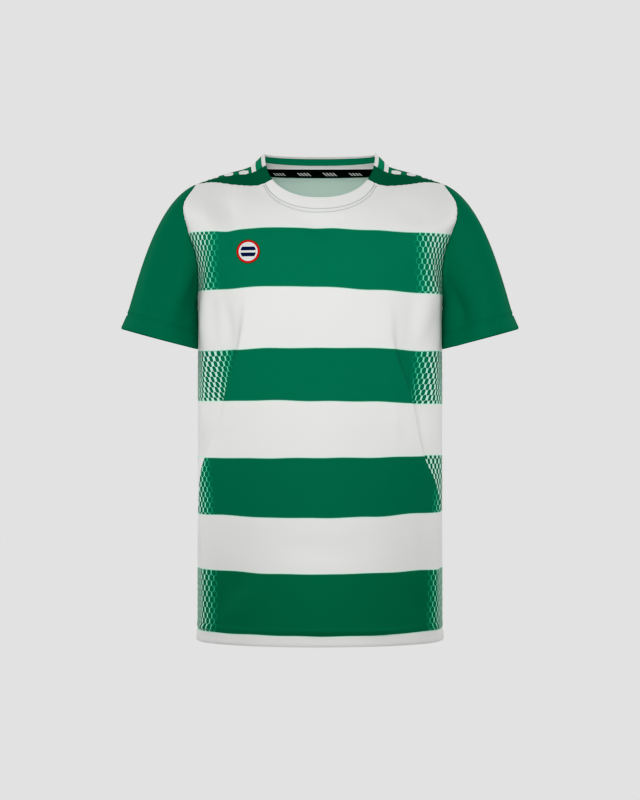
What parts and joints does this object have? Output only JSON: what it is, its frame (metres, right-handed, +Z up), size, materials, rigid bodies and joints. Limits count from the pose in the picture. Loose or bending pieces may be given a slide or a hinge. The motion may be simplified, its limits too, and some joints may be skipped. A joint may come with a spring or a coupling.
{
  "type": "football jersey",
  "caption": "Hollow short-sleeved football jersey, filled out as worn, with a hooped body, shoulder insets, a ribbed half collar and open neck, cuffs and hem.",
  "frame": {"origin": "middle of the neck at the height where the garment rests on the shoulders", "axes": "+Z up, -Y towards the front, +X towards the wearer's left"},
  "size_m": [0.5056, 0.2087, 0.6232],
  "materials": {
    "body_knit": "smooth knit, white with green hoops",
    "sleeve_knit": "smooth knit, green",
    "inset_knit": "smooth knit, dark green",
    "strip_knit": "smooth knit, green with a white printed row",
    "neckband_knit": "smooth knit, white",
    "collar_rib": "rib knit, green with white stripes",
    "neck_tape": "woven tape, black"
  },
  "bodies": {
    "root": {"front": "body_knit", "back": "body_knit", "sleeve_left": "sleeve_knit", "sleeve_right": "sleeve_knit", "shoulder_front_left": "inset_knit", "shoulder_front_right": "inset_knit", "shoulder_back_left": "strip_knit", "shoulder_back_right": "strip_knit", "neckband_front": "neckband_knit", "collar_back": "collar_rib", "neck_tape": "neck_tape"}
  },
  "joints": []
}
